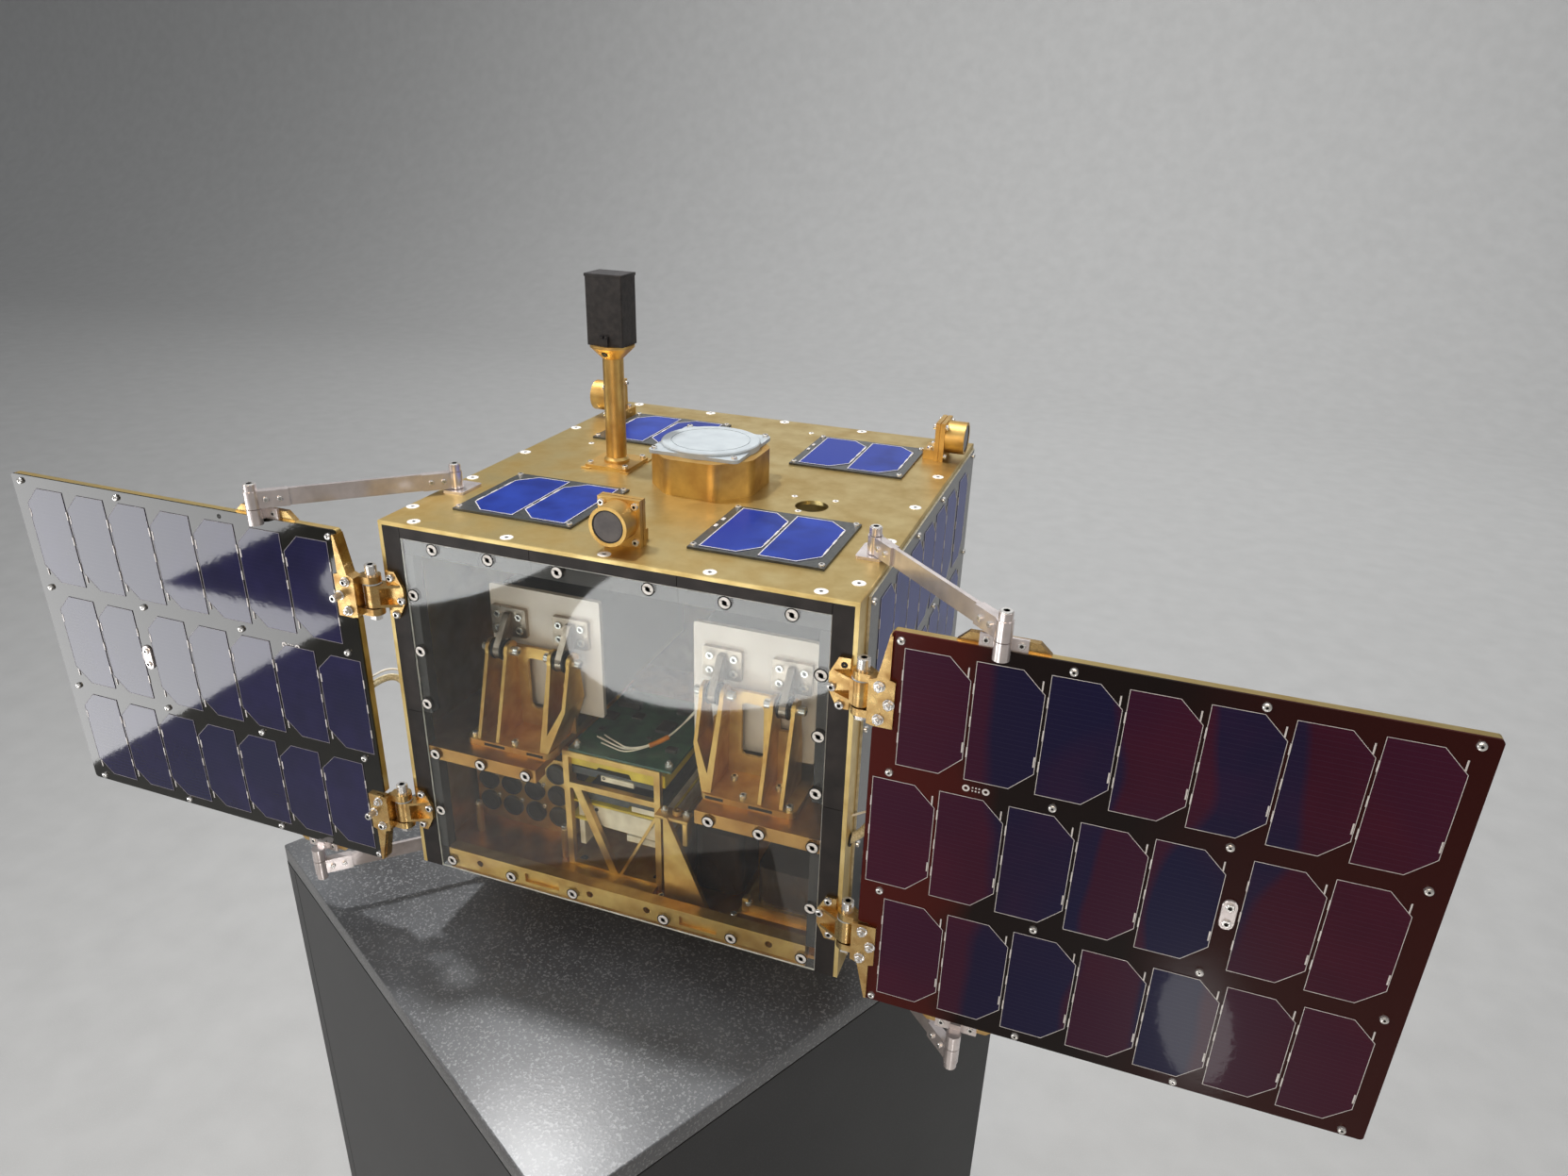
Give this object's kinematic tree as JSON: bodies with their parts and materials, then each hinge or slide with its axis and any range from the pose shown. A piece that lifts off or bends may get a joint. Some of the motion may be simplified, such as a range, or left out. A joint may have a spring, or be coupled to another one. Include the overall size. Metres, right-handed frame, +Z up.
{
  "type": "satellite",
  "caption": "Cubic small satellite with a clear front, hinged solar wings held out by braces, a mast and antenna on top, standing on its exhibition plinth.",
  "frame": {"origin": "on the floor, midway across the bus and 180 mm behind its front", "axes": "+Z up, clear front facing -Y, wings along X"},
  "size_m": [1.0212, 0.6278, 1.506],
  "materials": {
    "laminate_side": "dark grained laminate",
    "speckled_top": "dark grey speckled laminate",
    "riser_board": "matt painted board",
    "gold_aluminium": "gold conversion coated, satin",
    "black_aluminium": "black anodised, satin",
    "silver_aluminium": "bare machined, satin",
    "clear_panel": "clear polished sheet",
    "cell_board": "dark glossy printed circuit board",
    "solar_cell": "dark blue cover glass",
    "green_board": "green solder mask",
    "white_ceramic": "white satin antenna cover",
    "black_plastic": "black textured plastic",
    "lens_glass": "dark glass window",
    "cell_wrap": "black shrink wrap",
    "steel": "stainless steel fasteners",
    "cable_jacket": "cream cable jacket",
    "wheel_housing": "black anodised housing"
  },
  "bodies": {
    "satellite": {"antenna_housing": "gold_aluminium", "battery_cells": "cell_wrap", "battery_holder": "gold_aluminium", "body_boards": "cell_board", "body_cells": "solar_cell", "bottom_plate": "gold_aluminium", "brace_feet": "silver_aluminium", "cage_cards": "green_board", "card_cage": "gold_aluminium", "clear_panel": "clear_panel", "floor_fittings": "gold_aluminium", "front_frame": "black_aluminium", "front_rail": "gold_aluminium", "harness_left": "cable_jacket", "harness_right": "cable_jacket", "hinge_knuckles": "gold_aluminium", "main_board": "green_board", "mast": "gold_aluminium", "mast_sensor": "black_plastic", "patch_antenna": "white_ceramic", "payload_arms": "silver_aluminium", "payload_boxes": "black_aluminium", "payload_plates": "silver_aluminium", "plinth_base": "laminate_side", "plinth_sides": "laminate_side", "plinth_top": "speckled_top", "reaction_wheels": "wheel_housing", "rear_wall": "gold_aluminium", "rib_brackets": "gold_aluminium", "riser": "riser_board", "shelves": "gold_aluminium", "side_walls": "gold_aluminium", "sun_lenses": "lens_glass", "sun_sensors": "gold_aluminium", "top_plate": "gold_aluminium"},
    "wing_left": {"wing_left_board": "cell_board", "wing_left_brackets": "gold_aluminium", "wing_left_cells": "solar_cell", "wing_left_knuckles": "silver_aluminium", "wing_left_panel": "gold_aluminium", "wing_left_pins": "steel"},
    "brace_left_upper": {"brace_left_upper": "silver_aluminium"},
    "brace_left_lower": {"brace_left_lower": "silver_aluminium"},
    "wing_right": {"wing_right_board": "cell_board", "wing_right_brackets": "gold_aluminium", "wing_right_cells": "solar_cell", "wing_right_knuckles": "silver_aluminium", "wing_right_panel": "gold_aluminium", "wing_right_pins": "steel"},
    "brace_right_upper": {"brace_right_upper": "silver_aluminium"},
    "brace_right_lower": {"brace_right_lower": "silver_aluminium"}
  },
  "joints": [
    {"name": "wing_left_fold", "type": "hinge", "parent": "satellite", "child": "wing_left", "pos_m": [-0.181, -0.1865, 1.2065], "axis": [0, 0, -1], "range_deg": [0, 90], "deforming": ["harness_left"]},
    {"name": "brace_left_upper_swing", "type": "hinge", "parent": "satellite", "child": "brace_left_upper", "pos_m": [-0.163, -0.105, 1.356], "axis": [0, 0, -1], "range_deg": [0, 134]},
    {"name": "brace_left_lower_swing", "type": "hinge", "parent": "satellite", "child": "brace_left_lower", "pos_m": [-0.163, -0.105, 1.0375], "axis": [0, 0, -1], "range_deg": [0, 134]},
    {"name": "wing_right_fold", "type": "hinge", "parent": "satellite", "child": "wing_right", "pos_m": [0.181, -0.1865, 1.2065], "axis": [0, 0, 1], "range_deg": [0, 90], "deforming": ["harness_right"]},
    {"name": "brace_right_upper_swing", "type": "hinge", "parent": "satellite", "child": "brace_right_upper", "pos_m": [0.163, -0.105, 1.356], "axis": [0, 0, 1], "range_deg": [0, 134]},
    {"name": "brace_right_lower_swing", "type": "hinge", "parent": "satellite", "child": "brace_right_lower", "pos_m": [0.163, -0.105, 1.0375], "axis": [0, 0, 1], "range_deg": [0, 134]}
  ],
  "couplings": [
    {"joint": "brace_left_upper_swing", "follows": "wing_left_fold", "ratio": 1.4866},
    {"joint": "brace_left_lower_swing", "follows": "wing_left_fold", "ratio": 1.4866},
    {"joint": "brace_right_upper_swing", "follows": "wing_right_fold", "ratio": 1.4866},
    {"joint": "brace_right_lower_swing", "follows": "wing_right_fold", "ratio": 1.4866}
  ]
}
